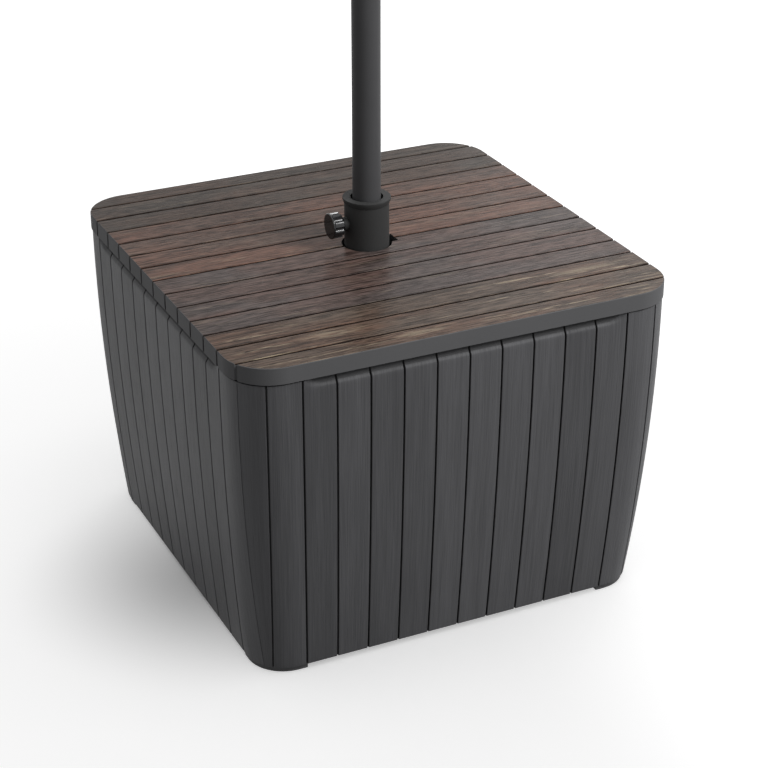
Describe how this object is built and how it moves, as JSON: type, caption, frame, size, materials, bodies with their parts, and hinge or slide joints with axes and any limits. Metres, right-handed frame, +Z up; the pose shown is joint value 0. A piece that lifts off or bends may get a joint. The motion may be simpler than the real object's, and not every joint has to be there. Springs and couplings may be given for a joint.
{
  "type": "parasol side table",
  "caption": "Square resin garden side table with bowed plank-look walls, a grooved wood-look lift-off top, ballast inside, and a clamped parasol mast standing through its middle.",
  "frame": {"origin": "on the floor, under the middle of the table and of the mast", "axes": "+Z up along the mast, -Y out of the front wall, +X along the planks of the top, away from the clamp knob"},
  "size_m": [0.608, 0.608, 0.8516],
  "materials": {
    "wood_look": "satin print of brown planks on a grey moulding",
    "grey_moulding": "matt anthracite with an embossed wood grain",
    "tank_moulding": "blow-moulded, matt",
    "coated_steel": "satin dark grey powder coat",
    "zinc_steel": "zinc plated",
    "collar_moulding": "satin black",
    "black_moulding": "satin black",
    "knob_gloss": "gloss black",
    "brass_insert": "turned",
    "soft_rubber": "matt"
  },
  "bodies": {
    "base": {"floor_tray": "grey_moulding", "corner_feet": "grey_moulding", "wall_front": "grey_moulding", "wall_back": "grey_moulding", "wall_left": "grey_moulding", "wall_right": "grey_moulding", "base_socket": "coated_steel", "socket_bolts": "zinc_steel", "socket_washers": "zinc_steel", "socket_nuts": "zinc_steel", "ballast_tank_left": "tank_moulding", "ballast_tank_right": "tank_moulding"},
    "top": {"table_top": "wood_look", "top_liner": "grey_moulding", "top_screws": "zinc_steel"},
    "stem": {"stem_tube": "coated_steel", "stem_plug": "black_moulding", "mast_bush_lower": "black_moulding", "mast_bush_upper": "black_moulding", "collar": "collar_moulding", "clamp_insert": "brass_insert"},
    "knob": {"clamp_knob": "knob_gloss", "knob_face": "knob_gloss", "clamp_stud": "zinc_steel", "clamp_pad": "soft_rubber"},
    "mast": {"mast_tube": "coated_steel", "mast_foot": "black_moulding", "mast_joint_liner": "black_moulding"},
    "left_cap": {"tank_cap_left": "black_moulding", "cap_seal_left": "soft_rubber"},
    "right_cap": {"tank_cap_right": "black_moulding", "cap_seal_right": "soft_rubber"}
  },
  "joints": [
    {"name": "top_lift", "type": "slide", "parent": "base", "child": "top", "axis": [0, 0, 1], "range_m": [0, 0.25]},
    {"name": "stem_lift", "type": "slide", "parent": "top", "child": "stem", "axis": [0, 0, 1], "range_m": [0, 0.44]},
    {"name": "mast_lift", "type": "slide", "parent": "stem", "child": "mast", "axis": [0, 0, 1], "range_m": [0, 0.48]},
    {"name": "knob_turn", "type": "hinge", "parent": "stem", "child": "knob", "pos_m": [-0.045, 0, 0.482], "axis": [-1, 0, 0], "continuous": true},
    {"name": "left_cap_turn", "type": "hinge", "parent": "base", "child": "left_cap", "pos_m": [-0.176, 0, 0.176], "axis": [0, 0, 1], "continuous": true},
    {"name": "right_cap_turn", "type": "hinge", "parent": "base", "child": "right_cap", "pos_m": [0.176, 0, 0.176], "axis": [0, 0, 1], "continuous": true}
  ]
}
